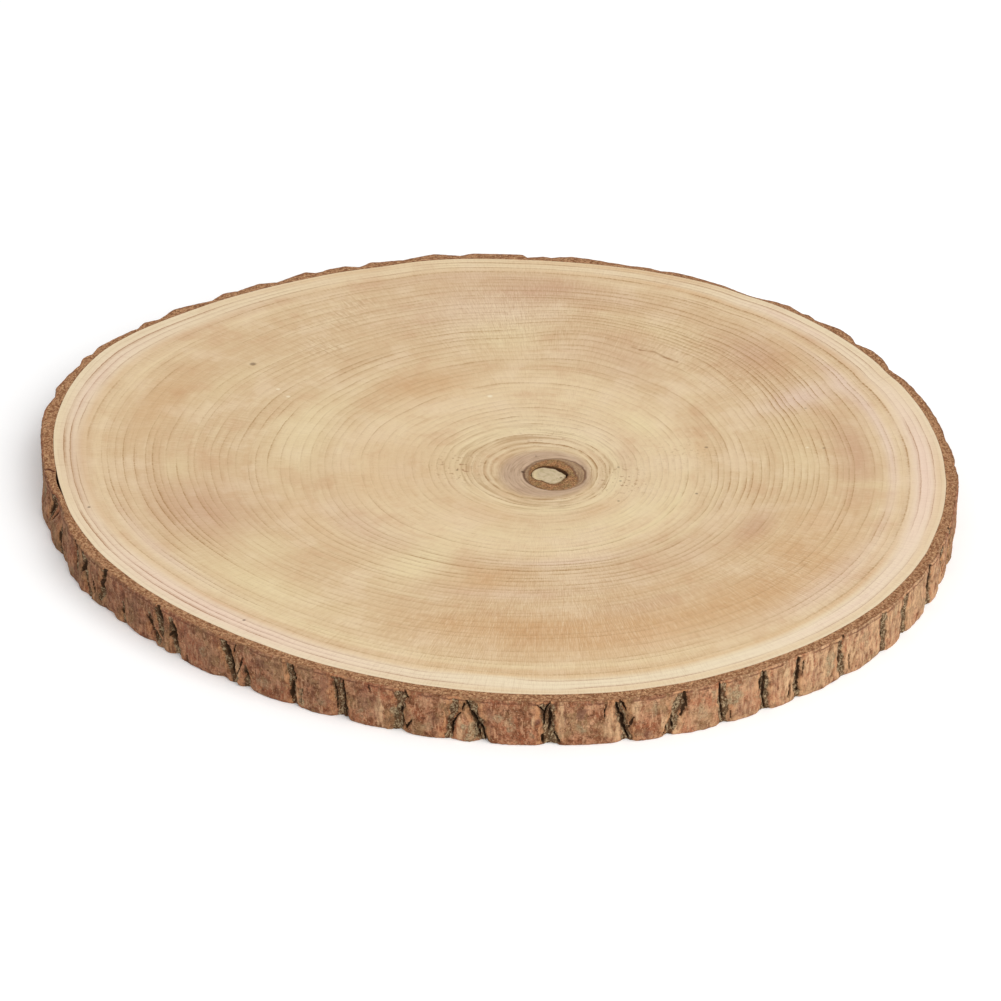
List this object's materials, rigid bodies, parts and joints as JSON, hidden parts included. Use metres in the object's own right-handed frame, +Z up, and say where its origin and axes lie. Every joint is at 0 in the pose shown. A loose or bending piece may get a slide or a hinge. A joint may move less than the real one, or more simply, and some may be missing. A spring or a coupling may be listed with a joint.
{
  "type": "wood slice",
  "caption": "Round slice cut straight across a tree trunk: flat pale faces with growth rings, a thin rim of cracked bark and a small sunken pith. Lies flat as a board or stand.",
  "frame": {"origin": "middle of the box of the slice, on its underside, which lies on the surface", "axes": "+Z up, square to both cut faces; seen from -Y, the pith lies to the right of the middle and nearer the viewer"},
  "size_m": [0.4012, 0.404, 0.02],
  "materials": {
    "wood": "pale sanded end grain with thin darker growth rings, matt",
    "bark": "rough reddish-brown bark plates with dark cracks and grey-green crusts, matt",
    "pith": "soft pale grey-cream pith, matt"
  },
  "bodies": {
    "root": {"wood": "wood", "bark": "bark", "pith": "pith"}
  },
  "joints": []
}
